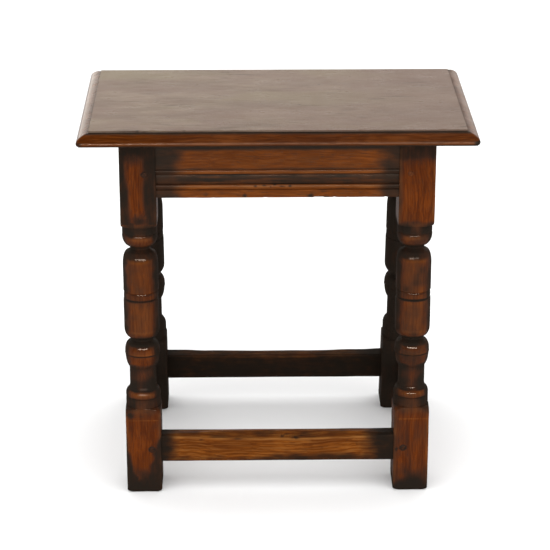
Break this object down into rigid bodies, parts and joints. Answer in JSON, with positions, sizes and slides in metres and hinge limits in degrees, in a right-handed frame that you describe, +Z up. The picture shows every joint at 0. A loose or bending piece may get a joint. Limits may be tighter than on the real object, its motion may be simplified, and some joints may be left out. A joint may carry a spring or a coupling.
{
  "type": "joint stool",
  "caption": "Oak joint stool with raked turned legs, moulded frieze rails, low box stretchers, pegged mortise and tenon joints and a moulded plank top.",
  "frame": {"origin": "on the floor under the middle of the top board", "axes": "+X along the stool towards its right end, -Y towards the front, +Z up through the top board"},
  "size_m": [0.4952, 0.276, 0.5],
  "materials": {
    "top_oak": "old waxed oak, grey brown, glossy",
    "leg_oak": "old turned oak, orange brown with dark recesses, waxed",
    "rail_oak": "old moulded oak, orange brown with dark ends, waxed",
    "stretcher_oak": "old oak, worn on top, waxed",
    "peg_oak": "dark riven oak pegs",
    "button_oak": "plain oak, unfinished",
    "screw_steel": "old dull steel"
  },
  "bodies": {
    "root": {"top_board": "top_oak", "leg_front_left": "leg_oak", "leg_front_right": "leg_oak", "leg_rear_left": "leg_oak", "leg_rear_right": "leg_oak", "rail_front": "rail_oak", "rail_rear": "rail_oak", "rail_left": "rail_oak", "rail_right": "rail_oak", "stretcher_front": "stretcher_oak", "stretcher_rear": "stretcher_oak", "stretcher_left": "stretcher_oak", "stretcher_right": "stretcher_oak", "peg_front_rail_left_end": "peg_oak", "peg_front_rail_right_end": "peg_oak", "peg_front_stretcher_left_end": "peg_oak", "peg_front_stretcher_right_end": "peg_oak", "peg_rear_rail_left_end": "peg_oak", "peg_rear_rail_right_end": "peg_oak", "peg_rear_stretcher_left_end": "peg_oak", "peg_rear_stretcher_right_end": "peg_oak", "peg_left_rail_front_end": "peg_oak", "peg_left_rail_rear_end": "peg_oak", "peg_left_stretcher_front_end": "peg_oak", "peg_left_stretcher_rear_end": "peg_oak", "peg_right_rail_front_end": "peg_oak", "peg_right_rail_rear_end": "peg_oak", "peg_right_stretcher_front_end": "peg_oak", "peg_right_stretcher_rear_end": "peg_oak", "button_front_left": "button_oak", "button_front_right": "button_oak", "button_rear_left": "button_oak", "button_rear_right": "button_oak", "button_left": "button_oak", "button_right": "button_oak", "button_screw_front_left": "screw_steel", "button_screw_front_right": "screw_steel", "button_screw_rear_left": "screw_steel", "button_screw_rear_right": "screw_steel", "button_screw_left": "screw_steel", "button_screw_right": "screw_steel"}
  },
  "joints": []
}
